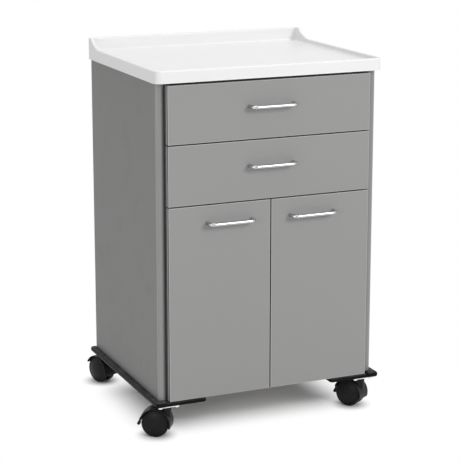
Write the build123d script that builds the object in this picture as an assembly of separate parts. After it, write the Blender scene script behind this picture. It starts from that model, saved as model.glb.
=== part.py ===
from build123d import *
import math
import os

# Mobile treatment cabinet: a grey laminate carcass on two black base rails and four twin-wheel
# casters, with a white moulded worktop, two drawers, and a cupboard behind two hinged doors.
# All sizes are in millimetres. X runs to the right, Y to the back and Z up. While the pieces are
# made, X = 0 is the middle of the carcass, Y = 0 the front of the edge mouldings and Z = 0 the
# floor. The last section moves the whole cabinet so that the origin is the middle of its footprint.

# Carcass and fronts
body_width = 594.0
body_depth = 480.0
rail_height = 86.5
rail_thickness = 10.0
door_height = 494.0
lower_front_height = 150.0
upper_front_height = 145.0
front_gap = 3.0
top_gap = 6.0
door_rail_gap = 2.5
side_reveal = 3.0
front_thickness = 19.0
front_seat = 2.0
front_edge_radius = 1.4
end_panel_thickness = 20.0
inner_side_thickness = 16.0
panel_thickness = 16.0
back_panel_thickness = 6.0
top_rail_width = 80.0

# Edge moulding with its barbed tongue
moulding_rise = 6.0
moulding_lip = 1.5
tongue_depth = 8.5
tongue_thickness = 1.4
barb_thickness = 2.4
barb_length = 2.0
slot_spare_depth = 1.0

# Moulded worktop
skirt_height = 31.0
side_overhang = 10.0
front_overhang = 4.0
back_overhang = 2.0
shell_thickness = 5.0
skirt_thickness = 4.0
surface_drop = 12.0
rim_width = 8.0
upstand_rise = 25.0
upstand_width = 9.0
sweep_head_inset = 19.0
sweep_run_length = 35.0
sweep_radii = (90.0, 17.0)
bead_height = 3.2
bead_reach = 0.8
bead_edge_radius = 1.4
front_corner_radius = 18.0
back_corner_radius = 16.0
cove_radius = 6.0
rim_edge_radius = 3.4
board_clearance = 0.3

# Shelf
shelf_height_share = 0.5
shelf_side_gap = 0.6
shelf_setback = 30.0
shelf_rear_gap = 4.0
shelf_pin_diameter = 5.0
shelf_pin_depth = 9.0
shelf_pin_reach = 8.0
shelf_pin_inset = 40.0

# Drawer boxes
box_side_thickness = 12.0
box_height = 110.0
box_drop = 12.0
box_depth = 436.0
box_bottom_thickness = 6.0
box_bottom_height = 8.0
groove_depth = 5.0

# Ball-bearing drawer slides
slide_width = 12.5
slide_height = 45.0
slide_metal = 1.2
slide_length = 400.0
slide_front_setback = 4.0
middle_length = 380.0
slide_side_clearance = 0.6
slide_web_clearance = 0.8
cabinet_lip = 10.0
drawer_lip_clearance = 1.0

# Concealed hinges
hinge_inset = 82.0
cup_diameter = 35.0
cup_depth = 12.5
cup_wall = 0.8
cup_edge_distance = 3.0
cup_fit = 0.1
cup_bore_spare = 0.2
cup_flange_thickness = 1.2
cup_flange_height = 62.0
cup_flange_margin = 0.2
cup_screw_spacing = 48.0
cup_screw_offset = 6.0
hinge_pin_diameter = 2.4
hinge_pin_edge = 7.6
hinge_pin_depth = 9.3
pin_clearance = 0.05
pin_end_margin = 0.3
eye_wall = 0.65
arm_thickness = 2.0
arm_width = 12.0
arm_reach = 16.4
arm_standback = 8.0
arm_base_thickness = 4.0
arm_base_length = 42.0
hinge_plate_thickness = 2.0
hinge_plate_length = 50.0
hinge_plate_height = 50.0
hinge_plate_screw_spacing = 32.0
hinge_plate_screw_inset = 12.0

# Bow handles
handle_centres = 120.0
handle_diameter = 10.0
handle_standoff = 24.0
handle_bend_radius = 12.0
drawer_handle_drop = 63.0
door_handle_drop = 45.0
door_handle_shift = 25.0

# Base rails
rail_width = 75.0
rail_side_overhang = 15.0
rail_back_overhang = 9.0
rail_return_length = 138.0
rail_corner_radius = 11.0
rail_inner_radius = 10.0
rail_end_radius = 9.0
rail_edge_radius = 3.4
bumper_gap = 0.6
bumper_rise = 4.5
bumper_leg_length = 31.0
bumper_radius = 6.2

# Casters
caster_side_inset = 23.0
caster_front_inset = 16.0
caster_rear_inset = 22.0
caster_offset = 24.0
wheel_diameter = 70.0
wheel_width = 17.0
wheel_gap = 12.0
wheel_edge_radius = 5.0
wheel_dish_radius = 27.0
wheel_dish_depth = 1.6
axle_diameter = 8.0
hood_web_thickness = 11.0
hood_clearance = 1.8
hood_thickness = 3.2
hood_front_angle = 25.0
hood_rear_angle = 196.0
hood_edge_radius = 1.4
boss_diameter = 30.0
boss_gap = 0.4
race_diameter = 32.0
race_height = 4.0
kingpin_diameter = 10.0
kingpin_length = 16.0
plate_size = 58.0
plate_thickness = 2.6
plate_corner_radius = 6.0
plate_bolt_spacing = 44.0
front_left_heading = 146.0
front_right_heading = 124.0
back_left_heading = 111.0
back_right_heading = 128.0

# Brake levers
lever_pivot_angle = 15.0
lever_pivot_shift = 0.8
lever_hub_diameter = 6.0
lever_hub_clearance = 0.5
lever_width = 16.0
lever_length = 20.0
lever_thickness = 4.0
lever_slope = 60.0
lever_tip_radius = 4.0
lever_trunnion_diameter = 3.0
ear_gap = 0.3
ear_thickness = 3.0
ear_wall = 2.0
web_bite = 0.2

# Fasteners: head diameter, head height, shank diameter, and length under the head, which on a
# handle screw depends on what it goes through
wood_screw = (7.0, 2.2, 3.5, 13.0)
cup_screw = (6.4, 1.8, 3.2, 11.0)
slide_screw = (6.0, 0.6, 3.2, 10.0)
carcass_screw = (10.0, 3.0, 5.0, 44.0)
back_screw = (7.5, 2.2, 3.5, 16.0)
top_screw = (9.0, 2.6, 4.5, 26.0)
handle_screw = (8.5, 2.4, 4.0)
handle_thread_depth = 9.0
plate_bolt = (11.0, 3.6, 6.0, 11.6)
recess_width_share = 0.16
recess_length_share = 0.6
recess_depth_share = 0.5
screw_row_inset = 48.0

# Cutting tools run past the piece that they cut by this much
overrun = 20.0

# Heights and depths that follow from the sizes above
rail_top = rail_height + rail_thickness
door_bottom = rail_top + door_rail_gap
door_top = door_bottom + door_height
lower_drawer_bottom = door_top + front_gap
lower_drawer_top = lower_drawer_bottom + lower_front_height
upper_drawer_bottom = lower_drawer_top + front_gap
upper_drawer_top = upper_drawer_bottom + upper_front_height
body_top = upper_drawer_top + top_gap
half_body = body_width / 2
end_panel_inner_x = half_body - end_panel_thickness
inner_face_x = end_panel_inner_x - inner_side_thickness
front_outer_x = end_panel_inner_x - side_reveal
front_width = 2 * front_outer_x
front_face_y = front_seat - front_thickness
carcass_front_y = moulding_rise
back_panel_y = body_depth - back_panel_thickness
rim_top = body_top + skirt_height
surface_z = rim_top - surface_drop
upstand_top = rim_top + upstand_rise
divider_bottom = (door_top + lower_drawer_bottom - panel_thickness) / 2
divider_top = divider_bottom + panel_thickness
bottom_panel_top = rail_top + panel_thickness

pieces = {}


def block(x_span, y_span, z_span):
    """A rectangular solid between two places along each axis."""
    middle = [(low + high) / 2 for low, high in (x_span, y_span, z_span)]
    size = [high - low for low, high in (x_span, y_span, z_span)]
    return Pos(*middle) * Box(*size)


def upright_slab(outline, low, high):
    """A flat outline in X and Y made into a solid between two heights."""
    return extrude(Pos(0, 0, low) * outline, amount=high - low)


def rod(radius, start, direction, length):
    """A round bar from a start point along a direction."""
    return Plane(origin=start, z_dir=direction).location * Cylinder(
        radius, length, align=(Align.CENTER, Align.CENTER, Align.MIN)
    )


def screw(sizes, seat, outward, recess=True):
    """A domed screw: its head sits on the seat point and faces outward, its shank runs inward."""
    head_diameter, head_height, shank_diameter, length = sizes
    at_base = (Align.CENTER, Align.CENTER, Align.MIN)
    head = Cylinder(head_diameter / 2, head_height, align=at_base)
    head = fillet(head.edges().sort_by(Axis.Z)[-1], head_height / 2)
    shank = Cylinder(shank_diameter / 2, length, align=(Align.CENTER, Align.CENTER, Align.MAX))
    whole = head + shank
    if recess:
        long_side = head_diameter * recess_length_share
        short_side = head_diameter * recess_width_share
        depth = head_height * recess_depth_share
        for sides in ((long_side, short_side), (short_side, long_side)):
            whole -= Pos(0, 0, head_height - depth) * Box(*sides, depth + overrun, align=at_base)
    return Plane(origin=seat, z_dir=outward).location * whole


def cut_by(piece, tools):
    """The piece with every tool taken out of it."""
    for tool in tools:
        piece = piece - tool
    return piece


def other_side(solids):
    """The same solids mirrored to the other side of the cabinet."""
    return [mirror(solid, about=Plane.YZ) for solid in solids]


# Edge moulding: a domed plastic strip whose barbed tongue is pressed into a slot in the panel edge
moulding_x = half_body - end_panel_thickness / 2


def moulding_outline():
    """Section of the left moulding, with its dome towards the front."""
    half = end_panel_thickness / 2
    lip_y = moulding_rise - moulding_lip
    dome = make_face(
        Polyline((-half, lip_y), (-half, moulding_rise), (half, moulding_rise), (half, lip_y))
        + ThreePointArc((half, lip_y), (0, 0), (-half, lip_y))
    )
    stem_span = (-tongue_thickness / 2, tongue_thickness / 2)
    tongue_end = moulding_rise + tongue_depth
    stem = make_face(
        Polyline(
            (stem_span[0], moulding_rise),
            (stem_span[1], moulding_rise),
            (stem_span[1], tongue_end),
            (stem_span[0], tongue_end),
            close=True,
        )
    )
    section = dome + stem
    for barb_end in (tongue_end, tongue_end - 2 * barb_length):
        section += make_face(
            Polyline(
                (-barb_thickness / 2, barb_end - barb_length),
                (barb_thickness / 2, barb_end - barb_length),
                (stem_span[1], barb_end),
                (stem_span[0], barb_end),
                close=True,
            )
        )
    return section


left_moulding = upright_slab(Pos(-moulding_x, 0, 0) * moulding_outline(), rail_top, body_top)
pieces["left_edge_moulding"] = [left_moulding]
pieces["right_edge_moulding"] = other_side([left_moulding])

# End panels: the outer laminated sides, slotted along their front edges for the mouldings
left_end_panel = block(
    (-half_body, -end_panel_inner_x), (carcass_front_y, body_depth), (rail_top, body_top)
)
left_end_panel -= block(
    (-moulding_x - barb_thickness / 2, -moulding_x + barb_thickness / 2),
    (carcass_front_y - overrun, carcass_front_y + tongue_depth + slot_spare_depth),
    (rail_top - overrun, body_top + overrun),
)
pieces["left_side_panel"] = [left_end_panel]
pieces["right_side_panel"] = other_side([left_end_panel])

# Inner carcass: two sides, a bottom, a divider over the cupboard, two top rails and a back
left_inner_side = block(
    (-end_panel_inner_x, -inner_face_x), (carcass_front_y, back_panel_y), (rail_top, body_top)
)
bottom_panel = block(
    (-inner_face_x, inner_face_x), (carcass_front_y, back_panel_y), (rail_top, bottom_panel_top)
)
divider_panel = block(
    (-inner_face_x, inner_face_x), (carcass_front_y, back_panel_y), (divider_bottom, divider_top)
)
top_rail_z = (body_top - panel_thickness, body_top)
top_rails = [
    block((-inner_face_x, inner_face_x), (near, near + top_rail_width), top_rail_z)
    for near in (carcass_front_y, back_panel_y - top_rail_width)
]
back_panel = block(
    (-end_panel_inner_x, end_panel_inner_x), (back_panel_y, body_depth), (rail_top, body_top)
)

# Carcass screws go through the inner sides into the ends of the panels and rails between them
head_depth = carcass_screw[1]
screw_places = [
    (y, z)
    for z in (rail_top + panel_thickness / 2, divider_bottom + panel_thickness / 2)
    for y in (carcass_front_y + screw_row_inset, back_panel_y - screw_row_inset)
]
screw_places += [
    (near + top_rail_width / 2, body_top - panel_thickness / 2)
    for near in (carcass_front_y, back_panel_y - top_rail_width)
]
left_carcass_screws = [
    screw(carcass_screw, (-end_panel_inner_x + head_depth, y, z), (-1, 0, 0), recess=False)
    for y, z in screw_places
]
carcass_screws = left_carcass_screws + other_side(left_carcass_screws)
left_inner_side = cut_by(left_inner_side, left_carcass_screws)
bottom_panel = cut_by(bottom_panel, carcass_screws)
divider_panel = cut_by(divider_panel, carcass_screws)
top_rails = [cut_by(rail, carcass_screws) for rail in top_rails]

# Back panel screws sit in two rows, into the bottom, the divider and the rear top rail
back_rows_z = (
    rail_top + panel_thickness / 2,
    divider_bottom + panel_thickness / 2,
    body_top - panel_thickness / 2,
)
back_columns_x = (-inner_face_x + screw_row_inset, 0, inner_face_x - screw_row_inset)
back_screws = [
    screw(back_screw, (x, body_depth, z), (0, 1, 0)) for z in back_rows_z for x in back_columns_x
]
back_panel = cut_by(back_panel, back_screws)
bottom_panel = cut_by(bottom_panel, back_screws)
divider_panel = cut_by(divider_panel, back_screws)
top_rails = [cut_by(rail, back_screws) for rail in top_rails]
pieces["back_panel"] = [back_panel]
pieces["back_panel_screws"] = back_screws
pieces["carcass_screws"] = carcass_screws
pieces["divider_panel"] = [divider_panel]

# Shelf on four pins in the middle of the cupboard
shelf_middle = bottom_panel_top + (divider_bottom - bottom_panel_top) * shelf_height_share
shelf_z = (shelf_middle - panel_thickness / 2, shelf_middle + panel_thickness / 2)
shelf_x = inner_face_x - shelf_side_gap
shelf_y = (carcass_front_y + shelf_setback, back_panel_y - shelf_rear_gap)
pieces["shelf"] = [block((-shelf_x, shelf_x), shelf_y, shelf_z)]
left_shelf_pins = [
    rod(
        shelf_pin_diameter / 2,
        (-inner_face_x - shelf_pin_depth, y, shelf_z[0] - shelf_pin_diameter / 2),
        (1, 0, 0),
        shelf_pin_depth + shelf_pin_reach,
    )
    for y in (shelf_y[0] + shelf_pin_inset, shelf_y[1] - shelf_pin_inset)
]
pieces["shelf_pins"] = left_shelf_pins + other_side(left_shelf_pins)
left_inner_side = cut_by(left_inner_side, left_shelf_pins)

# Moulded worktop: a white shell with a raised rim, and an upstand at the back whose ends sweep down
top_x = half_body + side_overhang
top_front_y = front_face_y - front_overhang
top_back_y = body_depth + back_overhang


def rounded_plan(inset, least_radius):
    """Plan of the worktop, drawn in by an inset, with its front and back corner radii."""
    x = top_x - inset
    front = top_front_y + inset
    back = top_back_y - inset
    front_radius = max(front_corner_radius - inset, least_radius)
    back_radius = max(back_corner_radius - inset, least_radius)
    plan = Pos(0, (front + back) / 2) * Rectangle(2 * x, back - front)
    corners = plan.vertices().group_by(Axis.Y)
    plan = fillet(corners[-1], back_radius)
    return fillet(plan.vertices().group_by(Axis.Y)[0], front_radius)


def worktop_shell():
    """The whole moulding, hollow below for its board and recessed above for the work surface."""
    shell = upright_slab(rounded_plan(0, rim_edge_radius), body_top, upstand_top)
    bead = upright_slab(rounded_plan(-bead_reach, rim_edge_radius), body_top, body_top + bead_height)
    ends = bead.faces().sort_by(Axis.Z)
    shell += fillet(ends[0].edges() + ends[-1].edges(), bead_edge_radius)
    head_y = top_back_y - upstand_width - sweep_head_inset
    side_line = FilletPolyline(
        (top_front_y - overrun, rim_top),
        (head_y - sweep_run_length, rim_top),
        (head_y, upstand_top),
        (top_back_y + overrun, upstand_top),
        radius=list(sweep_radii),
    )
    lid = side_line + Polyline(
        (top_back_y + overrun, upstand_top),
        (top_back_y + overrun, upstand_top + overrun),
        (top_front_y - overrun, upstand_top + overrun),
        (top_front_y - overrun, rim_top),
    )
    lid_face = Plane.YZ * make_face(lid)
    shell -= extrude(lid_face, amount=top_x + overrun, both=True)
    inner = top_x - rim_width
    pocket_y = (top_front_y + rim_width, top_back_y - upstand_width)
    pocket = block((-inner, inner), pocket_y, (surface_z, upstand_top + overrun))
    pocket = fillet(pocket.edges().filter_by(Axis.Z), cove_radius + rim_edge_radius)
    pocket = fillet(pocket.faces().sort_by(Axis.Z)[0].edges(), cove_radius)
    shell -= pocket
    underside = rounded_plan(skirt_thickness, rim_edge_radius)
    shell -= upright_slab(underside, body_top - overrun, surface_z - shell_thickness)
    return shell


worktop = worktop_shell()
rim_edges = worktop.edges().filter_by(lambda edge: edge.center().Z > rim_top - cove_radius / 2)
worktop = fillet(rim_edges, rim_edge_radius)
pieces["worktop"] = [worktop]

# Worktop board: the core inside the moulding, screwed down through the top rails
board_top = surface_z - shell_thickness
worktop_board = upright_slab(
    rounded_plan(skirt_thickness + board_clearance, rim_edge_radius), body_top, board_top
)
top_screws = [
    screw(top_screw, (x, near + top_rail_width / 2, body_top - panel_thickness), (0, 0, -1))
    for x in (-inner_face_x + 2 * screw_row_inset, inner_face_x - 2 * screw_row_inset)
    for near in (carcass_front_y, back_panel_y - top_rail_width)
]
pieces["worktop_board"] = [cut_by(worktop_board, top_screws)]
pieces["worktop_screws"] = top_screws
pieces["top_rails"] = [cut_by(rail, top_screws) for rail in top_rails]


# Drawer slides: a cabinet member, a middle member and a drawer member, each a shallow channel.
# Across the slide, depth is measured from the cabinet side towards the drawer.
slide_y = (carcass_front_y + slide_front_setback, carcass_front_y + slide_front_setback + slide_length)
middle_lip_start = slide_metal + slide_web_clearance
middle_half_height = slide_height / 2 - slide_metal - slide_side_clearance
drawer_half_height = middle_half_height - slide_metal - slide_side_clearance


def channel(web_span, lip_span, half_height, y_span, z_middle):
    """A left-hand channel section: its web and two lips, placed by depth from the cabinet side."""
    web = block(
        [-inner_face_x + depth for depth in web_span],
        y_span,
        (z_middle - half_height, z_middle + half_height),
    )
    lip_x = [-inner_face_x + depth for depth in lip_span]
    inner = half_height - slide_metal
    web += block(lip_x, y_span, (z_middle + inner, z_middle + half_height))
    web += block(lip_x, y_span, (z_middle - half_height, z_middle - inner))
    return web


def slide_set(z_middle):
    """The left slide of a drawer: cabinet member, middle member and drawer member."""
    cabinet = channel((0, slide_metal), (0, cabinet_lip), slide_height / 2, slide_y, z_middle)
    middle_y = (slide_y[0] + slide_web_clearance, slide_y[0] + slide_web_clearance + middle_length)
    middle = channel(
        (middle_lip_start, middle_lip_start + slide_metal),
        (middle_lip_start, cabinet_lip),
        middle_half_height,
        middle_y,
        z_middle,
    )
    drawer_lip_start = middle_lip_start + slide_metal + drawer_lip_clearance
    drawer = channel(
        (slide_width - slide_metal, slide_width),
        (drawer_lip_start, slide_width),
        drawer_half_height,
        slide_y,
        z_middle,
    )
    return cabinet, middle, drawer


# Drawers: a laminated front, a four-sided box with a bottom let into grooves, and a bow handle
box_outer_x = inner_face_x - slide_width
box_inner_x = box_outer_x - box_side_thickness
box_y = (front_seat, front_seat + box_depth)


def laminated_front(x_span, z_span):
    """A door or drawer front with slightly eased front edges."""
    board = block(x_span, (front_face_y, front_seat), z_span)
    return fillet(board.faces().sort_by(Axis.Y)[0].edges(), front_edge_radius)


def bow_handle(x_middle, z):
    """A round bar bent to a bow, whose two feet stand on the front, with a threaded hole in each."""
    half = handle_centres / 2
    bar_y = front_face_y - handle_standoff
    path = FilletPolyline(
        (x_middle - half, front_face_y, z),
        (x_middle - half, bar_y, z),
        (x_middle + half, bar_y, z),
        (x_middle + half, front_face_y, z),
        radius=handle_bend_radius,
    )
    section = Plane(origin=path @ 0, z_dir=path % 0) * Circle(handle_diameter / 2)
    return sweep(section, path=path)


def handle_screws(x_middle, z, seat_y):
    """Two machine screws from the inside, through the front into the feet of the handle."""
    length = seat_y - front_face_y + handle_thread_depth
    sizes = handle_screw + (length,)
    return [
        screw(sizes, (x_middle + side * handle_centres / 2, seat_y, z), (0, 1, 0))
        for side in (-1, 1)
    ]


def add_drawer(name, front_bottom, front_top):
    """One drawer with its handle, its box and both slides."""
    handle_z = front_top - drawer_handle_drop
    box_bottom = front_bottom + box_drop
    box_top = box_bottom + box_height
    seat_y = front_seat + box_side_thickness
    screws = handle_screws(0, handle_z, seat_y)
    front = laminated_front((-front_outer_x, front_outer_x), (front_bottom, front_top))
    pieces[name + "_front"] = [cut_by(front, screws)]
    pieces[name + "_handle"] = [cut_by(bow_handle(0, handle_z), screws)]
    pieces[name + "_handle_screws"] = screws

    bottom_z = (box_bottom + box_bottom_height, box_bottom + box_bottom_height + box_bottom_thickness)
    floor_x = box_inner_x + groove_depth
    floor_y = (box_y[0] + box_side_thickness - groove_depth, box_y[1] - box_side_thickness + groove_depth)
    floor = block((-floor_x, floor_x), floor_y, bottom_z)
    box_z = (box_bottom, box_top)
    left_side = block((-box_outer_x, -box_inner_x), box_y, box_z)
    box_front = block((-box_inner_x, box_inner_x), (box_y[0], box_y[0] + box_side_thickness), box_z)
    box_back = block((-box_inner_x, box_inner_x), (box_y[1] - box_side_thickness, box_y[1]), box_z)
    walls = [left_side] + other_side([left_side]) + [cut_by(box_front, screws), box_back]
    pieces[name + "_box"] = [wall - floor for wall in walls]
    pieces[name + "_bottom"] = [floor]

    slide_z = (box_bottom + box_top) / 2
    cabinet, middle, drawer = slide_set(slide_z)
    pieces[name + "_slide_drawer_members"] = [drawer] + other_side([drawer])
    pieces[name + "_slide_middle_members"] = [middle] + other_side([middle])
    return [cabinet] + other_side([cabinet]), slide_z


cabinet_members = []
slide_heights = []
for drawer_name, bottom, top in (
    ("upper_drawer", upper_drawer_bottom, upper_drawer_top),
    ("lower_drawer", lower_drawer_bottom, lower_drawer_top),
):
    members, height = add_drawer(drawer_name, bottom, top)
    cabinet_members += members
    slide_heights.append(height)

# Slide screws hold the cabinet members to the inner sides, three along each slide
left_slide_screws = [
    screw(slide_screw, (-inner_face_x + slide_metal, y, z), (1, 0, 0), recess=False)
    for z in slide_heights
    for y in (slide_y[0] + screw_row_inset, sum(slide_y) / 2, slide_y[1] - screw_row_inset)
]
slide_screws = left_slide_screws + other_side(left_slide_screws)
pieces["slide_cabinet_members"] = [cut_by(member, slide_screws) for member in cabinet_members]
pieces["slide_screws"] = slide_screws
left_inner_side = cut_by(left_inner_side, left_slide_screws)

# Concealed hinges: a cup let into the back of the door, and a cranked arm on a plate in the cabinet
door_edge_x = -front_outer_x
pin_x = door_edge_x + hinge_pin_edge
pin_y = front_seat - hinge_pin_depth
cup_x = door_edge_x + cup_edge_distance + cup_diameter / 2
cup_outer_radius = cup_diameter / 2 - cup_fit
cup_inner_radius = cup_outer_radius - cup_wall
plate_face_x = -inner_face_x + hinge_plate_thickness
arm_front_y = front_seat + arm_standback
hinge_heights = (door_bottom + hinge_inset, door_top - hinge_inset)


def hinge_pin(z):
    """The pin across the cup, held in the cup wall at both ends."""
    outer_edge = cup_x - pin_x + hinge_pin_diameter / 2
    half_length = math.sqrt((cup_outer_radius - pin_end_margin) ** 2 - outer_edge**2)
    return rod(hinge_pin_diameter / 2, (pin_x, pin_y, z - half_length), (0, 0, 1), 2 * half_length)


def hinge_cup(z):
    """The cup with its flange, hollow, open to the back."""
    flange_x = cup_outer_radius - cup_flange_margin
    cup = rod(cup_outer_radius, (cup_x, front_seat - cup_depth, z), (0, 1, 0), cup_depth)
    cup += block(
        (cup_x - flange_x, cup_x + flange_x),
        (front_seat, front_seat + cup_flange_thickness),
        (z - cup_flange_height / 2, z + cup_flange_height / 2),
    )
    hollow_depth = cup_depth - cup_wall
    cup -= rod(cup_inner_radius, (cup_x, front_seat - hollow_depth, z), (0, 1, 0), hollow_depth + overrun)
    return cup - hinge_pin(z)


def hinge_arm(z):
    """The cranked arm: an eye on the pin, a run out of the cup, and a base along the plate."""
    half_metal = arm_thickness / 2
    turn_x = pin_x + arm_reach
    width = (z - arm_width / 2, z + arm_width / 2)
    arm = block((pin_x, turn_x + half_metal), (pin_y - half_metal, pin_y + half_metal), width)
    arm += block(
        (turn_x - half_metal, turn_x + half_metal), (pin_y - half_metal, arm_front_y + half_metal), width
    )
    arm += block(
        (plate_face_x, turn_x + half_metal), (arm_front_y - half_metal, arm_front_y + half_metal), width
    )
    arm += block(
        (plate_face_x, plate_face_x + arm_base_thickness),
        (arm_front_y - half_metal, arm_front_y + arm_base_length),
        width,
    )
    hole_radius = hinge_pin_diameter / 2 + pin_clearance
    arm += rod(hole_radius + eye_wall, (pin_x, pin_y, width[0]), (0, 0, 1), arm_width)
    return arm - rod(hole_radius, (pin_x, pin_y, width[0] - overrun), (0, 0, 1), arm_width + 2 * overrun)


def hinge_plate(z):
    """The mounting plate on the inner side, behind the front edge."""
    return block(
        (-inner_face_x, plate_face_x),
        (arm_front_y, arm_front_y + hinge_plate_length),
        (z - hinge_plate_height / 2, z + hinge_plate_height / 2),
    )


left_plate_screws = [
    screw(wood_screw, (plate_face_x, arm_front_y + hinge_plate_screw_inset, z + offset), (1, 0, 0))
    for z in hinge_heights
    for offset in (-hinge_plate_screw_spacing / 2, hinge_plate_screw_spacing / 2)
]
left_plates = [cut_by(hinge_plate(z), left_plate_screws) for z in hinge_heights]
left_arms = [hinge_arm(z) for z in hinge_heights]
pieces["hinge_plates"] = left_plates + other_side(left_plates)
pieces["hinge_plate_screws"] = left_plate_screws + other_side(left_plate_screws)
pieces["hinge_arms"] = left_arms + other_side(left_arms)
left_inner_side = cut_by(left_inner_side, left_plate_screws)
pieces["left_inner_side"] = [left_inner_side]
pieces["right_inner_side"] = other_side([left_inner_side])

# Doors: each has two cup bores in its back and a handle towards the meeting edge
door_width = (front_width - front_gap) / 2
door_meeting_x = door_edge_x + door_width
left_handle_x = door_edge_x + door_width / 2 + door_handle_shift
door_handle_z = door_top - door_handle_drop


def left_door_pieces():
    """The left door, its handle, its handle screws and its hinge cups."""
    door = laminated_front((door_edge_x, door_meeting_x), (door_bottom, door_top))
    bore_depth = cup_depth + cup_bore_spare
    for z in hinge_heights:
        door -= rod(cup_diameter / 2, (cup_x, front_seat - bore_depth, z), (0, 1, 0), bore_depth + overrun)
    cup_screws = [
        screw(cup_screw, (cup_x + cup_screw_offset, front_seat + cup_flange_thickness, z + offset), (0, 1, 0))
        for z in hinge_heights
        for offset in (-cup_screw_spacing / 2, cup_screw_spacing / 2)
    ]
    screws = handle_screws(left_handle_x, door_handle_z, front_seat)
    door = cut_by(door, cup_screws + screws)
    cups = [cut_by(hinge_cup(z), cup_screws) for z in hinge_heights]
    pins = [hinge_pin(z) for z in hinge_heights]
    handle = cut_by(bow_handle(left_handle_x, door_handle_z), screws)
    return {
        "door": [door],
        "door_handle": [handle],
        "door_handle_screws": screws,
        "door_hinge_cups": cups + pins + cup_screws,
    }


for piece_name, solids in left_door_pieces().items():
    pieces["left_" + piece_name] = solids
    pieces["right_" + piece_name] = other_side(solids)

# Base rails: a black C-shaped rail under each side, with a return along the front and the back,
# and a round-nosed bumper that runs along the side and round the front corner
bumper_outer_x = half_body + rail_side_overhang
bumper_back_y = body_depth + rail_back_overhang
rail_back_y = bumper_back_y - rail_edge_radius


def left_bumper():
    """The left bumper: a thick bar beside the panel, with a short leg in front of the moulding."""
    outer = -bumper_outer_x
    inner = -half_body - bumper_gap
    leg_back = -bumper_gap
    leg_front = front_face_y - rail_edge_radius
    z_span = (rail_height, rail_top + bumper_rise)
    bar = block((outer, inner), (leg_front, bumper_back_y), z_span)
    bar += block((outer, outer + bumper_leg_length), (leg_front, leg_back), z_span)
    outward = bar.edges().filter_by(
        lambda edge: edge.center().X < inner - bumper_gap or edge.center().Y < leg_back - bumper_gap
    )
    return fillet(outward, bumper_radius)


def left_rail():
    """The left rail, its corners and edges rounded, with the bumper along its outer edge."""
    outer = -bumper_outer_x + bumper_radius
    inner = -bumper_outer_x + rail_width
    tip = -bumper_outer_x + rail_return_length
    plan = make_face(
        Polyline(
            (outer, front_face_y),
            (tip, front_face_y),
            (tip, front_face_y + rail_width),
            (inner, front_face_y + rail_width),
            (inner, rail_back_y - rail_width),
            (tip, rail_back_y - rail_width),
            (tip, rail_back_y),
            (outer, rail_back_y),
            close=True,
        )
    )
    columns = plan.vertices().group_by(Axis.X)
    plan = fillet(columns[-1], rail_end_radius)
    plan = fillet(plan.vertices().group_by(Axis.X)[0], rail_corner_radius)
    inside = plan.vertices().filter_by(lambda corner: abs(corner.X - inner) < rail_end_radius / 2)
    plan = fillet(inside, rail_inner_radius)
    rail = upright_slab(plan, rail_height, rail_top)
    flat = rail.faces().filter_by(Axis.Z)
    return fillet(flat.edges(), rail_edge_radius) + left_bumper()


# Casters: plate, ball race and kingpin under the rail, then a swivelling hood with two wheels.
# A caster is drawn with its swivel on the Z axis and its axle out along +X, then turned and placed.
wheel_radius = wheel_diameter / 2
wheel_inner_y = wheel_gap / 2
wheel_outer_y = wheel_inner_y + wheel_width
plate_bottom = rail_height - plate_thickness
race_bottom = plate_bottom - race_height
boss_top = race_bottom - boss_gap
hood_inner_radius = wheel_radius + hood_clearance
hood_outer_radius = hood_inner_radius + hood_thickness
lever_pivot_radius = (hood_inner_radius + hood_outer_radius) / 2 + lever_pivot_shift
lever_pivot_x = caster_offset + lever_pivot_radius * math.cos(math.radians(lever_pivot_angle))
lever_pivot_z = wheel_radius + lever_pivot_radius * math.sin(math.radians(lever_pivot_angle))
ear_inner_y = lever_width / 2 + ear_gap
ear_outer_y = ear_inner_y + ear_thickness


def across(radius, x, z, y_span):
    """A round bar across the caster, along Y."""
    return rod(radius, (x, y_span[0], z), (0, 1, 0), y_span[1] - y_span[0])


def hood_shell():
    """The curved cover over both wheels, as wide as the wheels."""
    start = math.radians(hood_front_angle)
    end = math.radians(hood_rear_angle)

    def at(radius, angle):
        return (caster_offset + radius * math.cos(angle), wheel_radius + radius * math.sin(angle))

    middle = (start + end) / 2
    section = make_face(
        ThreePointArc(*[at(hood_outer_radius, angle) for angle in (start, middle, end)])
        + Line(at(hood_outer_radius, end), at(hood_inner_radius, end))
        + ThreePointArc(*[at(hood_inner_radius, angle) for angle in (end, middle, start)])
        + Line(at(hood_inner_radius, start), at(hood_outer_radius, start))
    )
    shell = extrude(Plane.XZ * section, amount=wheel_outer_y, both=True)
    rims = shell.faces().filter_by(Axis.Y).edges()
    return fillet(rims, hood_edge_radius)


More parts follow.
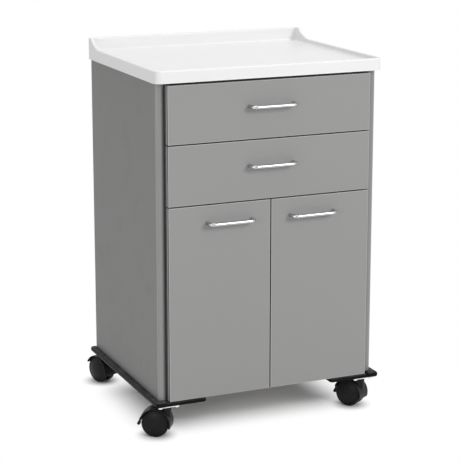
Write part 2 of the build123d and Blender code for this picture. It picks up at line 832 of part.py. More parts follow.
def caster_hood(with_lever):
    """Hood: a web between the wheels, a cover over them, and a boss for the kingpin."""
    web_half = hood_web_thickness / 2
    hood = hood_shell()
    hood += across(hood_inner_radius + web_bite, caster_offset, wheel_radius, (-web_half, web_half))
    low_cut = wheel_radius - axle_diameter * 2
    reach = hood_outer_radius + caster_offset + overrun
    hood -= block((-reach, reach), (-web_half, web_half), (-overrun, low_cut))
    boss = rod(boss_diameter / 2, (0, 0, low_cut), (0, 0, 1), boss_top - low_cut)
    for y_span in ((web_half, web_half + reach), (-web_half - reach, -web_half)):
        boss -= across(hood_inner_radius, caster_offset, wheel_radius, y_span)
    keep = block((-boss_diameter, boss_diameter), (-boss_diameter, boss_diameter), (wheel_radius, boss_top))
    hood += boss & keep
    hood -= across(axle_diameter / 2 + pin_clearance, caster_offset, wheel_radius, (-reach, reach))
    hood -= rod(
        kingpin_diameter / 2 + pin_clearance, (0, 0, boss_top - kingpin_length), (0, 0, 1), reach
    )
    if with_lever:
        hole = lever_trunnion_diameter / 2 + pin_clearance
        ear_radius = hole + ear_wall
        for side in (-1, 1):
            span = sorted((side * ear_inner_y, side * ear_outer_y))
            ear = across(lever_pivot_radius + ear_radius / 2, caster_offset, wheel_radius, span)
            ear -= across(hood_inner_radius, caster_offset, wheel_radius, span)
            above = Pos(caster_offset, 0, wheel_radius) * Rot(0, -lever_pivot_angle, 0)
            ear &= above * block((0, reach), (-reach, reach), (0, lever_pivot_radius / 2))
            hood += ear + across(ear_radius, lever_pivot_x, lever_pivot_z, span)
        hood -= across(hole, lever_pivot_x, lever_pivot_z, (-reach, reach))
        socket = (-ear_inner_y, ear_inner_y)
        hood -= across(
            lever_hub_diameter / 2 + lever_hub_clearance, lever_pivot_x, lever_pivot_z, socket
        )
    return hood


def caster_wheels():
    """Two wheels with rounded treads and dished outer faces, fast on one axle."""
    wheels = []
    for side in (-1, 1):
        span = sorted((side * wheel_inner_y, side * wheel_outer_y))
        wheel = across(wheel_radius, caster_offset, wheel_radius, span)
        outer_rim = wheel.edges().filter_by(GeomType.CIRCLE)
        wheel = fillet(outer_rim, wheel_edge_radius)
        dish = sorted((side * (wheel_outer_y - wheel_dish_depth), side * (wheel_outer_y + overrun)))
        wheel -= across(wheel_dish_radius, caster_offset, wheel_radius, dish)
        wheel -= across(axle_diameter / 2, caster_offset, wheel_radius, (-overrun * 2, overrun * 2))
        wheels.append(wheel)
    axle_end = wheel_outer_y - wheel_dish_depth
    return wheels + [across(axle_diameter / 2, caster_offset, wheel_radius, (-axle_end, axle_end))]


def brake_lever():
    """A tab that slopes down past the wheels, on two trunnions between the ears of the hood."""
    half = lever_width / 2
    lever = across(lever_hub_diameter / 2, lever_pivot_x, lever_pivot_z, (-half, half))
    tab = block((0, lever_length), (-half, half), (-lever_thickness / 2, lever_thickness / 2))
    tab = fillet(tab.edges().filter_by(Axis.Z).sort_by(Axis.X)[-2:], lever_tip_radius)
    lever += Pos(lever_pivot_x, 0, lever_pivot_z) * Rot(0, lever_slope, 0) * tab
    trunnion = (-ear_outer_y, ear_outer_y)
    return lever + across(lever_trunnion_diameter / 2, lever_pivot_x, lever_pivot_z, trunnion)


def caster_plate():
    """Top plate with a bolt hole in each corner."""
    plan = RectangleRounded(plate_size, plate_size, plate_corner_radius)
    return upright_slab(plan, plate_bottom, rail_height)


def kingpin():
    """Ball race under the plate and the pin that the hood turns on."""
    race = rod(race_diameter / 2, (0, 0, race_bottom), (0, 0, 1), race_height)
    pin_bottom = boss_top - kingpin_length + pin_clearance
    return race + rod(kingpin_diameter / 2, (0, 0, pin_bottom), (0, 0, 1), race_bottom - pin_bottom)


swivel_x = half_body - caster_side_inset
caster_places = {
    "front_left": (-swivel_x, caster_front_inset, front_left_heading, True),
    "front_right": (swivel_x, caster_front_inset, front_right_heading, True),
    "back_left": (-swivel_x, body_depth - caster_rear_inset, back_left_heading, False),
    "back_right": (swivel_x, body_depth - caster_rear_inset, back_right_heading, False),
}
plates = []
kingpins = []
bolts = []
for place, (x, y, heading, has_lever) in caster_places.items():
    spot = Pos(x, y, 0)
    turned = spot * Rot(0, 0, heading)
    bolt_reach = plate_bolt_spacing / 2
    own_bolts = [
        spot * screw(plate_bolt, (dx, dy, plate_bottom), (0, 0, -1))
        for dx in (-bolt_reach, bolt_reach)
        for dy in (-bolt_reach, bolt_reach)
    ]
    plates.append(cut_by(spot * caster_plate(), own_bolts))
    kingpins.append(spot * kingpin())
    bolts += own_bolts
    pieces[place + "_caster_hood"] = [turned * caster_hood(has_lever)]
    pieces[place + "_caster_wheels"] = [turned * wheel for wheel in caster_wheels()]
    if has_lever:
        pieces[place + "_brake_lever"] = [turned * brake_lever()]
pieces["caster_plates"] = plates
pieces["caster_kingpins"] = kingpins
pieces["caster_plate_bolts"] = bolts
left_bolts = [bolt for bolt in bolts if bolt.center().X < 0]
left_base_rail = cut_by(left_rail(), left_bolts)
pieces["left_base_rail"] = [left_base_rail]
pieces["right_base_rail"] = other_side([left_base_rail])
pieces["bottom_panel"] = [bottom_panel]

# The origin goes to the floor under the middle of the whole outline, levers and handles included
whole = Compound([solid for solids in pieces.values() for solid in solids]).bounding_box()
to_origin = Pos(-(whole.min.X + whole.max.X) / 2, -(whole.min.Y + whole.max.Y) / 2, 0)
print("moved by", to_origin.position.X, to_origin.position.Y)

os.makedirs("parts", exist_ok=True)
for node, solids in pieces.items():
    export_step(Compound([to_origin * solid for solid in solids]), "parts/" + node + ".step")
print(len(pieces), "nodes")
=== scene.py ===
import math

import bmesh
import bpy
from mathutils import Matrix, Vector


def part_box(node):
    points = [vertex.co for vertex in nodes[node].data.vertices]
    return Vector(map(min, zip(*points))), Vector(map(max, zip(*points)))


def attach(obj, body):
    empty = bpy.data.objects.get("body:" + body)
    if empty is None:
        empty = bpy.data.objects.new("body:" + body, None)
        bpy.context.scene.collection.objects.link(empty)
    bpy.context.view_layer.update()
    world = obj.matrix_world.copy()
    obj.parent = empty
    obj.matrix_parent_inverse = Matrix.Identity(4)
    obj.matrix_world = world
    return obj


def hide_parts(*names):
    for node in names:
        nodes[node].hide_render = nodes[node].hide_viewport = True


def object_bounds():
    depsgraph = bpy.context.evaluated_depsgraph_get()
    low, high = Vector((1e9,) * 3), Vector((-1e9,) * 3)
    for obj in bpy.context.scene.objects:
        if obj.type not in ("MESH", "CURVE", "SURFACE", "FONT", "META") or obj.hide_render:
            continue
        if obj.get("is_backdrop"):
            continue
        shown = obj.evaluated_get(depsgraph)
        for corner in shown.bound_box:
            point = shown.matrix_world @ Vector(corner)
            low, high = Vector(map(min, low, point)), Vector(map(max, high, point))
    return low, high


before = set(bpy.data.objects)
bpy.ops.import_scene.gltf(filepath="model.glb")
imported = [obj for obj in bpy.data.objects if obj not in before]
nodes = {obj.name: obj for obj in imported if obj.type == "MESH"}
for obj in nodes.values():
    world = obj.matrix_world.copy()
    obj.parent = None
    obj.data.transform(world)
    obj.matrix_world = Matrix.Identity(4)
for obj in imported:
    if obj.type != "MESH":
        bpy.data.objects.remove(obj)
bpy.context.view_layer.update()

# Camera: stands in front of the cabinet, off to its left and a little above the worktop. A long
# lens with a small downward shift keeps the uprights nearly parallel, as in a catalogue picture.
picture_width = 460
focal_length = 1613.0  # in pixels of the picture
downward_shift = 37  # in pixels too
downward_tilt = 12.5393
turn_to_the_right = 23.5135

camera_data = bpy.data.cameras.new("camera")
camera_data.sensor_width = 36.0
camera_data.lens = camera_data.sensor_width * focal_length / picture_width
camera_data.shift_y = -downward_shift / picture_width
camera = bpy.data.objects.new("camera", camera_data)
camera.location = (-1.64379, -3.80696, 1.48025)
camera.rotation_euler = (math.radians(90 - downward_tilt), 0, math.radians(-turn_to_the_right))
bpy.context.scene.collection.objects.link(camera)
bpy.context.scene.camera = camera
bpy.context.scene.view_settings.view_transform = "Standard"


# Studio: a white floor that keeps the cabinet's shadow under it and runs out into a white
# backdrop, an even pale sky, one large soft lamp in front, one overhead and a weak one at the left.
class Wire:
    """One socket of a material. Sums written with wires add the Math nodes that work them out."""

    def __init__(self, tree, socket=None):
        self.tree = tree
        self.socket = socket

    def node(self, kind, settings, sockets, output=0):
        """Adds a node of a kind, with its settings and then its sockets, and gives an output."""
        made = self.tree.nodes.new("ShaderNode" + kind)
        for name, value in settings.items():
            setattr(made, name, value)
        for name, value in sockets.items():
            if isinstance(value, Wire):
                self.tree.links.new(value.socket, made.inputs[name])
            else:
                made.inputs[name].default_value = value
        return Wire(self.tree, made.outputs[output] if len(made.outputs) else None)

    def sum(self, operation, first, second):
        return self.node("Math", {"operation": operation}, {0: first, 1: second})

    def __add__(self, other):
        return self.sum("ADD", self, other)

    def __radd__(self, other):
        return self.sum("ADD", other, self)

    def __sub__(self, other):
        return self.sum("SUBTRACT", self, other)

    def __rsub__(self, other):
        return self.sum("SUBTRACT", other, self)

    def __mul__(self, other):
        return self.sum("MULTIPLY", self, other)

    def __rmul__(self, other):
        return self.sum("MULTIPLY", other, self)

    def __gt__(self, other):
        return self.sum("GREATER_THAN", self, other)

    def __lt__(self, other):
        return self.sum("LESS_THAN", self, other)


def start(name):
    """A new material, and the loose end from which its nodes are made."""
    material = bpy.data.materials.new(name)
    material.use_nodes = True
    material.node_tree.nodes.clear()
    return material, Wire(material.node_tree)


def smooth_step(value, low, high):
    """0 below low, 1 above high, and a soft ramp between them."""
    return value.node("MapRange", {"interpolation_type": "SMOOTHSTEP"}, {0: value, 1: low, 2: high})


def sees_background(wire):
    """1 for the rays that look at the background, straight or by a reflection."""
    kinds = ("Is Camera Ray", "Is Glossy Ray", "Is Transmission Ray")
    rays = [wire.node("LightPath", {}, {}, kind) for kind in kinds]
    return rays[0] + rays[1] + rays[2]


def vector(wire, operation, *values):
    """A sum on points, one of Blender's Vector Math operations."""
    return wire.node("VectorMath", {"operation": operation}, dict(enumerate(values)))


def axis_values(point):
    """The x, y and z of a point, each as a wire."""
    return [point.node("SeparateXYZ", {}, {0: point}, axis) for axis in ("X", "Y", "Z")]


corners = ("front_left", "front_right", "back_left", "back_right")
floor_radius = 9.0
shadow_core = (0.19, 0.105, 1.0)  # half size of the patch under the cabinet that stays shaded
shadow_edge = 0.15  # how far the shade runs out beyond the patch
wheel_shadow = (0.015, 0.062)  # where the shade round each caster starts and stops running out
white = (1.0, 1.0, 1.0, 1.0)

floor_mesh = bmesh.new()
bmesh.ops.create_circle(floor_mesh, cap_ends=True, segments=96, radius=floor_radius)
floor_data = bpy.data.meshes.new("studio_floor")
floor_mesh.to_mesh(floor_data)
floor_mesh.free()
floor = bpy.data.objects.new("studio_floor", floor_data)
bpy.context.scene.collection.objects.link(floor)
floor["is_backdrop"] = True

floor_paint, wire = start("white_floor")
place = wire.node("TexCoord", {}, {}, "Object")
spread = vector(wire, "SUBTRACT", vector(wire, "ABSOLUTE", place), shadow_core)
outside = vector(wire, "MAXIMUM", spread, (0.0, 0.0, 0.0))
reach = wire.node("VectorMath", {"operation": "LENGTH"}, {0: outside}, "Value")
far = smooth_step(reach, 0.0, shadow_edge)
for corner in corners:
    low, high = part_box(corner + "_caster_wheels")
    foot = ((low.x + high.x) / 2, (low.y + high.y) / 2, 0.0)
    away = wire.node("VectorMath", {"operation": "DISTANCE"}, {0: place, 1: foot}, "Value")
    far = far * smooth_step(away, *wheel_shadow)
paper = wire.node("BsdfDiffuse", {}, {"Color": (0.80, 0.80, 0.80, 1.0)})
glow = wire.node("Emission", {}, {"Color": white, "Strength": 1.0})
sheet = wire.node("MixShader", {}, {0: far * sees_background(wire), 1: paper, 2: glow})
wire.node("OutputMaterial", {}, {"Surface": sheet})
floor_data.materials.append(floor_paint)

world = bpy.data.worlds.new("studio")
world.use_nodes = True
world.node_tree.nodes.clear()
wire = Wire(world.node_tree)
sky = wire.node("Background", {}, {"Color": white, "Strength": 0.54})
backdrop = wire.node("Background", {}, {"Color": white, "Strength": 1.0})
air = wire.node("MixShader", {}, {0: sees_background(wire), 1: sky, 2: backdrop})
wire.node("OutputWorld", {}, {"Surface": air})
bpy.context.scene.world = world


def lamp(name, place, aim, size, power):
    """A soft square lamp that faces a point."""
    data = bpy.data.lights.new(name, "AREA")
    data.size = size
    data.energy = power
    made = bpy.data.objects.new(name, data)
    made.location = place
    made.rotation_euler = (Vector(aim) - Vector(place)).to_track_quat("-Z", "Y").to_euler()
    bpy.context.scene.collection.objects.link(made)


lamp("key_lamp", (1.75, -3.75, 2.4), (0, 0, 0.5), size=1.3, power=77.0)
lamp("top_lamp", (0.0, 0.2, 4.4), (0, 0, 0.9), size=2.0, power=44.0)
lamp("side_lamp", (-2.6, -2.3, 0.9), (-0.3, -0.2, 0.4), size=0.7, power=13.0)


# Worktop: one white moulding of thick smooth plastic, formed over a board. It is bought in one
# piece and pressed down over the carcass, so only its own surface shows.
def give(material, *names):
    """The material on CAD nodes."""
    for name in names:
        for slot in nodes[name].material_slots:
            slot.material = material


def mix(factor, first, second):
    """A colour between two colours."""
    ends = [c if isinstance(c, Wire) else (*c, 1.0) for c in (first, second)]
    return factor.node("Mix", {"data_type": "RGBA"}, {0: factor, 6: ends[0], 7: ends[1]}, 2)


def noise(point, scale, detail=2.0, roughness=0.5):
    """Soft noise with so many patches to the metre."""
    sockets = {"Vector": point, "Scale": scale, "Detail": detail, "Roughness": roughness}
    return point.node("TexNoise", {}, sockets)


def stretched(point, scale):
    """The point with each axis scaled, so that a pattern runs long one way."""
    return point.node("Mapping", {}, {0: point, 3: scale})


def bump(height, distance):
    """A surface that a height pattern raises by a distance in metres."""
    return height.node("Bump", {}, {"Height": height, "Distance": distance, "Strength": 1.0})


def grey(value):
    return (value, value, value)


def coat_surface(wire, sockets):
    """Ends a material with one surface shader."""
    shader = wire.node("BsdfPrincipled", {}, sockets)
    wire.node("OutputMaterial", {}, {"Surface": shader})


white_plastic, wire = start("white_moulded_plastic")
place = wire.node("TexCoord", {}, {}, "Object")
cloud = noise(place, 7.0, 3.0)
grain = noise(place, 1400.0)
rub = noise(stretched(place, (9.0, 160.0, 60.0)), 3.0, 4.0)
coat_surface(
    wire,
    {
        "Base Color": mix(cloud, (0.785, 0.787, 0.79), (0.82, 0.82, 0.82)),
        "Roughness": 0.24 + 0.1 * cloud + 0.08 * rub,
        "Normal": bump(grain, 0.00003),
    },
)
give(white_plastic, "worktop")


# Worktop board: pressed wood chips, left raw because the moulding covers it. It stiffens the
# moulding from below and takes the screws that hold the top down.
def chip_tones(point):
    """A tone for each chip of a pressed board."""
    chips = point.node("TexVoronoi", {"feature": "F1"}, {"Vector": point, "Scale": 420.0}, "Color")
    return chips.node("SeparateColor", {}, {0: chips})


core_board, wire = start("particle_board")
place = wire.node("TexCoord", {}, {}, "Object")
tone = chip_tones(place)
fine = noise(place, 1600.0, 3.0)
coat_surface(
    wire,
    {
        "Base Color": mix(0.7 * tone + 0.3 * fine, (0.30, 0.20, 0.11), (0.60, 0.46, 0.30)),
        "Roughness": 0.8 + 0.1 * fine,
        "Normal": bump(tone + fine, 0.00025),
    },
)
give(core_board, "worktop_board")


# Side panels: board faced with a satin grey laminate, its edges taped in a paler grey. On each
# edge a dark band just behind each face is partly the tape's joint and partly painted gap shade.
edge_tape = 0.0015  # how deep the tape's tone reaches from the rim
# the dark band behind each face: the real joint, widened as painted shade for the gaps
joint_start, joint_and_shade_width, joint_depth = 0.0016, 0.004, 0.0007


def larger(first, second):
    return first.sum("MAXIMUM", first, second)


def depths_from_box(place, low, high):
    """How far a point lies from the middle of a box, less half the box, along each axis."""
    middle, half = (low + high) / 2, (high - low) / 2
    from_middle = vector(place, "ABSOLUTE", vector(place, "SUBTRACT", place, tuple(middle)))
    return axis_values(vector(place, "SUBTRACT", from_middle, tuple(half)))


def flat_board(name, node, faces, edge_tone, thickness):
    """A board with laminate on both faces and tape round its rim, which is square to an axis."""
    material, wire = start(name)
    place = wire.node("TexCoord", {}, {}, "Object")
    depths = depths_from_box(place, *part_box(node))
    across = depths.pop(thickness)
    rim = larger(*depths) > -edge_tape
    # painted shade: the joint band is widened so the narrow gaps between the fronts look dark
    in_joint_and_shade_band = (across > -joint_start - joint_and_shade_width) * (1 - (across > -joint_start))
    joint_and_painted_gap_shade = (larger(*depths) > -joint_depth) * in_joint_and_shade_band
    cloud = noise(place, 3.0, 3.0)
    dots = noise(place, 1100.0, 1.0)
    handled = smooth_step(noise(place, 14.0, 4.0, 0.6), 0.5, 0.75)
    pebble = noise(place, 520.0)
    face = mix(0.5 * cloud + 0.5 * dots, [c * 0.95 for c in faces], [c * 1.05 for c in faces])
    edge = mix(cloud, [c * 0.97 for c in edge_tone], [c * 1.03 for c in edge_tone])
    coat_surface(
        wire,
        {
            "Base Color": mix(joint_and_painted_gap_shade, mix(rim, face, edge), grey(0.03)),
            "Roughness": 0.4 + 0.06 * dots + 0.07 * handled - 0.12 * rim,
            "Specular IOR Level": 0.2,
            "Normal": bump(pebble, 0.00004),
        },
    )
    give(material, node)


x_axis, y_axis, z_axis = 0, 1, 2
# painted shade: the side panels' laminate is made darker than the fronts' laminate, to darken the
# side faces
shade_darkened_panel_grey = (0.200, 0.200, 0.197)
tape_grey = (0.44, 0.44, 0.436)
for side in ("left", "right"):
    flat_board(side + "_side_laminate", side + "_side_panel", shade_darkened_panel_grey, tape_grey, x_axis)


# Edge mouldings: extruded grey vinyl, pushed on over the front edges of the side panels. The die
# leaves faint long lines, and the rounded corner takes a soft light.
vinyl, wire = start("grey_vinyl")
place = wire.node("TexCoord", {}, {}, "Object")
lines = noise(stretched(place, (1800.0, 1800.0, 2.5)), 1.0)
cloud = noise(place, 12.0)
coat_surface(
    wire,
    {
        "Base Color": mix(cloud, (0.238, 0.238, 0.235), (0.264, 0.264, 0.261)),
        "Roughness": 0.2 + 0.14 * lines,
        "Specular IOR Level": 0.6,
        "Normal": bump(lines, 0.00003),
    },
)
give(vinyl, "left_edge_moulding", "right_edge_moulding")


# Inner carcass and shelf: board faced with pale melamine. Most front edges are painted near black
# as painted shade, so the gaps round the fronts look dark; the shelf and back have a pale tape
# there, and the other edges show the raw chips.
edge_skin = 0.0005
edge_band_depth = 0.0007
melamine = ((0.68, 0.67, 0.65), (0.60, 0.59, 0.57))


def melamine_face(place):
    """The pale speckled face, with the wires of its clouds and specks."""
    cloud = noise(place, 4.0, 3.0)
    speck = smooth_step(noise(place, 900.0), 0.62, 0.7)
    return mix(0.6 * cloud + 0.4 * speck, *melamine), cloud, speck


def melamine_board(name, node, edge_tone, thickness):
    """A pale board with a front edge in a given tone, which is pale tape on some boards and painted
    shade on others, and raw chips on its other edges.
    """
    low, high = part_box(node)
    material, wire = start(name)
    place = wire.node("TexCoord", {}, {}, "Object")
    depths = depths_from_box(place, low, high)
    depths.pop(thickness)
    rim = larger(*depths) > -edge_skin
    front = axis_values(place)[y_axis] < low.y + edge_band_depth
    tone = chip_tones(place)
    raw = mix(tone, (0.34, 0.23, 0.13), (0.60, 0.46, 0.30))
    face, cloud, _ = melamine_face(place)
    coat_surface(
        wire,
        {
            "Base Color": mix(front, mix(rim, face, raw), edge_tone),
            "Roughness": 0.42 + 0.1 * cloud + 0.3 * rim * (1 - front),
            "Normal": bump(tone * rim, 0.0002),
        },
    )
    give(material, node)


# painted shade: near-black front edges that make the gaps round the fronts look dark
painted_shade_black = grey(0.022)
painted_shade_dark = grey(0.07)
pale_tape = grey(0.62)
for node, edge_tone, thickness in (
    ("left_inner_side", painted_shade_dark, x_axis),
    ("right_inner_side", painted_shade_dark, x_axis),
    ("bottom_panel", painted_shade_black, z_axis),
    ("divider_panel", painted_shade_black, z_axis),
    ("top_rails", painted_shade_black, z_axis),
    ("shelf", pale_tape, z_axis),
    ("back_panel", pale_tape, y_axis),
):
    melamine_board(node + "_melamine", node, edge_tone, thickness)


# Drawers: laminated fronts screwed to boxes of pale melamine board. The boxes have taped top
# edges and a thin bottom let in between their sides.
laminate_grey = (0.296, 0.296, 0.293)
for front in ("upper_drawer_front", "lower_drawer_front"):
    flat_board(front + "_laminate", front, laminate_grey, tape_grey, y_axis)


def box_board(name, node):
    """Pale board whose top edge is taped."""
    material, wire = start(name)
    place = wire.node("TexCoord", {}, {}, "Object")
    top = axis_values(place)[z_axis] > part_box(node)[1].z - edge_band_depth
    face, cloud, speck = melamine_face(place)
    coat_surface(
        wire,
        {
            "Base Color": mix(top, face, grey(0.66)),
            "Roughness": 0.42 + 0.1 * cloud - 0.1 * top,
            "Normal": bump(speck, 0.00003),
        },
    )
    give(material, node)


for drawer in ("upper_drawer", "lower_drawer"):
    box_board(drawer + "_box_melamine", drawer + "_box")
    box_board(drawer + "_bottom_melamine", drawer + "_bottom")


# Doors: the same laminated and taped board as the drawer fronts, cut to stand in front of the
# carcass. Each door hangs from two cup hinges.
for door in ("left_door", "right_door"):
    flat_board(door + "_laminate", door, laminate_grey, tape_grey, y_axis)


# Handles: bright chrome-plated rod, bent into a bow and screwed on from behind the front. The
# ends stand square on the front, so only the rod and its two bends show.
quarter_turn = math.radians(90)


def plated(name, colour, rough, spread):
    """Plated steel with a faint haze."""
    material, wire = start(name)
    place = wire.node("TexCoord", {}, {}, "Object")
    haze = noise(place, 90.0, 4.0)
    fine = noise(place, 900.0)
    coat_surface(
        wire,
        {
            "Base Color": mix(haze, [0.93 * c for c in colour], colour),
            "Metallic": 1.0,
            "Roughness": rough + spread * haze,
            "Normal": bump(fine, 0.00001),
        },
    )
    return material


def pulled(mesh, ring, move):
    """Draws an open ring of edges straight on, and gives the ring at the new end."""
    grown = bmesh.ops.extrude_edge_only(mesh, edges=ring)["geom"]
    points = [item for item in grown if isinstance(item, bmesh.types.BMVert)]
    bmesh.ops.translate(mesh, verts=points, vec=move)
    edges = [item for item in grown if isinstance(item, bmesh.types.BMEdge)]
    return [edge for edge in edges if not set(edge.verts) - set(points)]


def bent(mesh, ring, centre, axis, angle, steps):
    """Draws an open ring of edges round a bend, and gives the ring at the new end."""
    points = list({point for edge in ring for point in edge.verts})
    swept = bmesh.ops.spin(
        mesh, geom=ring + points, cent=centre, axis=axis, angle=angle, steps=steps
    )
    return [item for item in swept["geom_last"] if isinstance(item, bmesh.types.BMEdge)]


def finished(name, mesh, body, slot, *materials):
    """A mesh made into a smooth piece that rides on a body."""
    bmesh.ops.recalc_face_normals(mesh, faces=mesh.faces)
    for face in mesh.faces:
        face.smooth = True
    data = bpy.data.meshes.new(name)
    mesh.to_mesh(data)
    mesh.free()
    data.set_sharp_from_angle(angle=math.radians(40))
    for material in materials:
        data.materials.append(material)
    made = bpy.data.objects.new(name, data)
    bpy.context.scene.collection.objects.link(made)
    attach(made, body)
    return made


chrome = plated("polished_chrome", (0.52, 0.52, 0.53), 0.09, 0.06)
bend_radius = 0.012
rod_sides = 28
bend_steps = 14
for body in ("upper_drawer", "lower_drawer", "left_door", "right_door"):
    low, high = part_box(body + "_handle")
    radius = (high.z - low.z) / 2
    left, right, height = low.x + radius, high.x - radius, low.z + radius
    bend_y = low.y + radius + bend_radius
    foot = Matrix.Translation((left, high.y, height)) @ Matrix.Rotation(quarter_turn, 4, "X")
    rod = bmesh.new()
    bmesh.ops.create_circle(rod, segments=rod_sides, radius=radius, matrix=foot)
    ring = pulled(rod, rod.edges[:], (0, bend_y - high.y, 0))
    for x, run in (
        (left + bend_radius, (right - left - 2 * bend_radius, 0, 0)),
        (right - bend_radius, (0, high.y - bend_y, 0)),
    ):
        ring = bent(rod, ring, (x, bend_y, height), (0, 0, 1), quarter_turn, bend_steps)
        ring = pulled(rod, ring, run)
    bmesh.ops.holes_fill(rod, edges=rod.edges, sides=rod_sides)
    handle = finished(body + "_bow", rod, body, "chrome", chrome)
    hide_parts(body + "_handle")


# Hinges: concealed cup hinges, stamped from steel, nickel-plated and screwed to the doors and to
# the inner sides. Each arm carries two adjusting screws.
def rounded(mesh, profile, place, steps):
    """Spins a profile of radius and height, in millimetres, once round the z axis of a place."""
    points = [mesh.verts.new(place @ Vector((r / 1000, 0, h / 1000))) for r, h in profile]
    edges = [mesh.edges.new(pair) for pair in zip(points, points[1:])]
    bmesh.ops.spin(
        mesh,
        geom=points + edges,
        cent=place.translation,
        axis=place.to_3x3() @ Vector((0, 0, 1)),
        angle=math.tau,
        steps=steps,
        use_merge=True,
    )


def joined(mesh):
    """The mesh with the doubled points of its poles and seams merged."""
    bmesh.ops.remove_doubles(mesh, verts=mesh.verts, dist=0.000001)
    return mesh


nickel = plated("nickel_plate", (0.66, 0.64, 0.61), 0.2, 0.12)
give(nickel, "hinge_arms", "hinge_plates", "hinge_plate_screws")
give(nickel, "left_door_hinge_cups", "right_door_hinge_cups")
screw_profile = (
    (0, 0.3), (1.0, 0.5), (1.3, 1.3), (2.3, 1.4), (3.0, 1.1), (3.3, 0.5), (3.3, -0.4), (0, -0.4),
)
arm_face = 0.006  # how far the arm's outer face stands off the inner side
screw_places = (0.009, 0.027)  # forward of the arm's back end
arm_middle = 0.006  # above the bottom or below the top of the arms
low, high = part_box("hinge_arms")
left_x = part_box("left_inner_side")[1].x + arm_face
right_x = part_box("right_inner_side")[0].x - arm_face
screws = bmesh.new()
for x, turn in ((left_x, quarter_turn), (right_x, -quarter_turn)):
    for y in screw_places:
        for z in (low.z + arm_middle, high.z - arm_middle):
            seat = Matrix.Translation((x, high.y - y, z)) @ Matrix.Rotation(turn, 4, "Y")
            rounded(screws, screw_profile, seat, steps=20)
finished("hinge_adjusting_screws", joined(screws), "cabinet", "nickel_steel", nickel)


# Slides, screws and pins: rolled and turned steel with a dull zinc plate. The slides are screwed
# to the inner sides and the drawer boxes, and the pins push into bored holes.
zinc = plated("zinc_plate", (0.66, 0.68, 0.70), 0.26, 0.18)
give(zinc, "slide_cabinet_members", "slide_screws", "carcass_screws", "back_panel_screws")
give(zinc, "worktop_screws", "shelf_pins")
for drawer in ("upper_drawer", "lower_drawer"):
    give(zinc, drawer + "_slide_drawer_members", drawer + "_slide_middle_members")
for front in ("upper_drawer", "lower_drawer", "left_door", "right_door"):
    give(zinc, front + "_handle_screws")


# Door buffers: small dots of clear silicone, two on the back of each door. They are stuck on near
# its free edge and meet the carcass softly.
silicone, wire = start("clear_buffer")
place = wire.node("TexCoord", {}, {}, "Object")
milk = noise(place, 300.0)
coat_surface(
    wire,
    {
        "Base Color": mix(milk, (0.62, 0.62, 0.60), (0.74, 0.74, 0.72)),
        "Roughness": 0.3 + 0.1 * milk,
        "Normal": bump(milk, 0.00005),
    },
)
buffer_profile = ((0, 3.2), (1.6, 3.0), (2.9, 2.4), (3.9, 1.3), (4.3, 0.0), (0, 0.0))
from_free_edge, above_bottom_panel, below_door_top = 0.022, 0.008, 0.007
bottom_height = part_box("bottom_panel")[0].z + above_bottom_panel
for door in ("left_door", "right_door"):
    low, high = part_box(door)
    x = high.x - from_free_edge if door == "left_door" else low.x + from_free_edge
    dots = bmesh.new()
    for z in (bottom_height, high.z - below_door_top):
        back = Matrix.Translation((x, high.y, z)) @ Matrix.Rotation(-quarter_turn, 4, "X")
        rounded(dots, buffer_profile, back, steps=24)
    finished(door + "_buffers", joined(dots), door, "white_worktop", silicone)


# Base rails: pressed steel rails with a satin black plastic coat, a long bumper along each side
# and a rounded leg in front of each corner. Faces that look up are lighter in patches: dust, and
# painted light from above.
black_coat, wire = start("black_coat")
place = wire.node("TexCoord", {}, {}, "Object")
peel = noise(place, 260.0)
facing_up = axis_values(wire.node("NewGeometry", {}, {}, "Normal"))[z_axis]
# dust and painted light: the faces that look up are made lighter in patches
dust_and_painted_top_light = smooth_step(facing_up, 0.5, 0.95) * smooth_step(noise(place, 35.0, 5.0, 0.7), 0.2, 0.7)
coat_surface(
    wire,
    {
        "Base Color": mix(dust_and_painted_top_light, grey(0.005), grey(0.085)),
        "Roughness": 0.42 + 0.2 * dust_and_painted_top_light,
        "Specular IOR Level": 0.06,
        "Normal": bump(peel, 0.00005),
    },
)
give(black_coat, "left_base_rail", "right_base_rail")


# Casters: bright zinc-plated races and bolts under the rails, and black moulded nylon hoods and
# brake levers. Each pair of wheels has smooth domed faces and a slightly softer tread.
def moulded_black(name, low, high, rough):
    """Black plastic with a fine skin and a little scuffing."""
    material, wire = start(name)
    place = wire.node("TexCoord", {}, {}, "Object")
    skin = noise(place, 1500.0)
    scuff = smooth_step(noise(place, 60.0, 6.0, 0.7), 0.45, 0.75)
    coat_surface(
        wire,
        {
            "Base Color": mix(scuff, grey(low), grey(high)),
            "Roughness": rough + 0.2 * scuff,
            "Specular IOR Level": 0.15,
            "Normal": bump(skin, 0.00006),
        },
    )
    return material


bright_zinc = plated("bright_zinc", (0.86, 0.87, 0.88), 0.16, 0.12)
give(bright_zinc, "caster_plates", "caster_kingpins", "caster_plate_bolts")
nylon = moulded_black("black_nylon", 0.006, 0.012, 0.34)
tread = moulded_black("black_tread", 0.007, 0.015, 0.42)
headings = (146, 124, 111, 128)  # where each caster points at rest, in the order of the corners
wheel_profile = (
    (0, 23.0), (5, 22.9), (11, 22.5), (17, 21.7), (22, 20.6), (26, 19.4), (28.2, 18.7),
    (28.8, 18.2), (29.3, 18.2), (29.8, 18.8), (31.5, 18.7), (33.3, 18.0), (34.6, 16.8),
    (35, 15.4), (35, 12.5), (34.7, 10), (33.6, 7.8), (31.8, 6.5), (29.5, 6.0), (20, 6.0),
    (19, 7.5), (8, 7.5), (7, 6.0), (0, 6.0),
)
tread_start = 0.0325  # radius beyond which a wheel's faces are tread
axle_profile = ((0, 7.0), (4, 7.0), (4, -7.0), (0, -7.0))
hub_profile = (
    (0, 11.2), (1.5, 11.2), (1.5, 7.9), (2.7, 7.9), (3, 7.6), (3, -7.6), (2.7, -7.9),
    (1.5, -7.9), (1.5, -11.2), (0, -11.2),
)
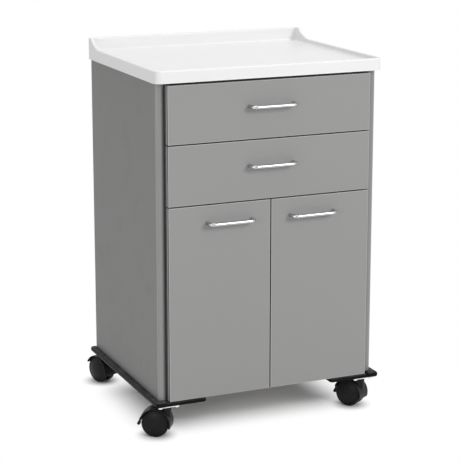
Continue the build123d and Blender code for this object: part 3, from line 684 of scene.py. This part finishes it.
pedal_outline = (
    (0, 2.0), (12.5, 2.0), (17.5, 1.9), (19.2, 1.2), (20, -0.4), (20, -3.2), (19.2, -5.0),
    (17.6, -5.9), (15.8, -5.6), (14.2, -4.2), (12, -2.8), (9, -2.1), (0, -2.0),
)
pedal_width = 0.016
pedal_edge = 0.0009
pedal_pivot = (0.037864, 0, 0.010146)  # ahead of and above the middle of the wheels
pedal_slope = math.radians(60)
for corner, heading in zip(corners, headings):
    give(nylon, corner + "_caster_hood")
    low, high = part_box(corner + "_caster_wheels")
    turned = Matrix.Rotation(math.radians(heading), 4, "Z")
    centre = Matrix.Translation((low + high) / 2) @ turned
    wheels = bmesh.new()
    for side in (-quarter_turn, quarter_turn):
        rounded(wheels, wheel_profile, centre @ Matrix.Rotation(side, 4, "X"), steps=64)
    across = centre @ Matrix.Rotation(quarter_turn, 4, "X")
    rounded(wheels, axle_profile, across, steps=20)
    joined(wheels)
    axle = (across.to_3x3() @ Vector((0, 0, 1))).normalized()
    for face in wheels.faces:
        spoke = face.calc_center_median() - across.translation
        face.material_index = int((spoke - spoke.dot(axle) * axle).length > tread_start)
    name = corner + "_wheels"
    pair = finished(name, wheels, corner + "_wheel_pair", "caster_black", nylon, tread)
    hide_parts(corner + "_caster_wheels")
    if corner.startswith("front"):
        slope = centre @ Matrix.Translation(pedal_pivot) @ Matrix.Rotation(pedal_slope, 4, "Y")
        lever = bmesh.new()
        near_points = [
            lever.verts.new(slope @ Vector((u / 1000, -pedal_width / 2, w / 1000)))
            for u, w in pedal_outline
        ]
        grown = bmesh.ops.extrude_face_region(lever, geom=[lever.faces.new(near_points)])["geom"]
        far_points = [item for item in grown if isinstance(item, bmesh.types.BMVert)]
        stretch = slope.to_3x3() @ Vector((0, pedal_width, 0))
        bmesh.ops.translate(lever, verts=far_points, vec=stretch)
        rims = [e for e in lever.edges if len({point in far_points for point in e.verts}) == 1]
        bmesh.ops.bevel(
            lever,
            geom=rims,
            offset=pedal_edge,
            segments=3,
            profile=0.5,
            affect="EDGES",
            material=-1,
        )
        rounded(lever, hub_profile, slope @ Matrix.Rotation(quarter_turn, 4, "X"), steps=24)
        name = corner + "_pedal"
        pedal = finished(name, joined(lever), corner + "_brake", "caster_black", nylon)
        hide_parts(corner + "_brake_lever")

low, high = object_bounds()
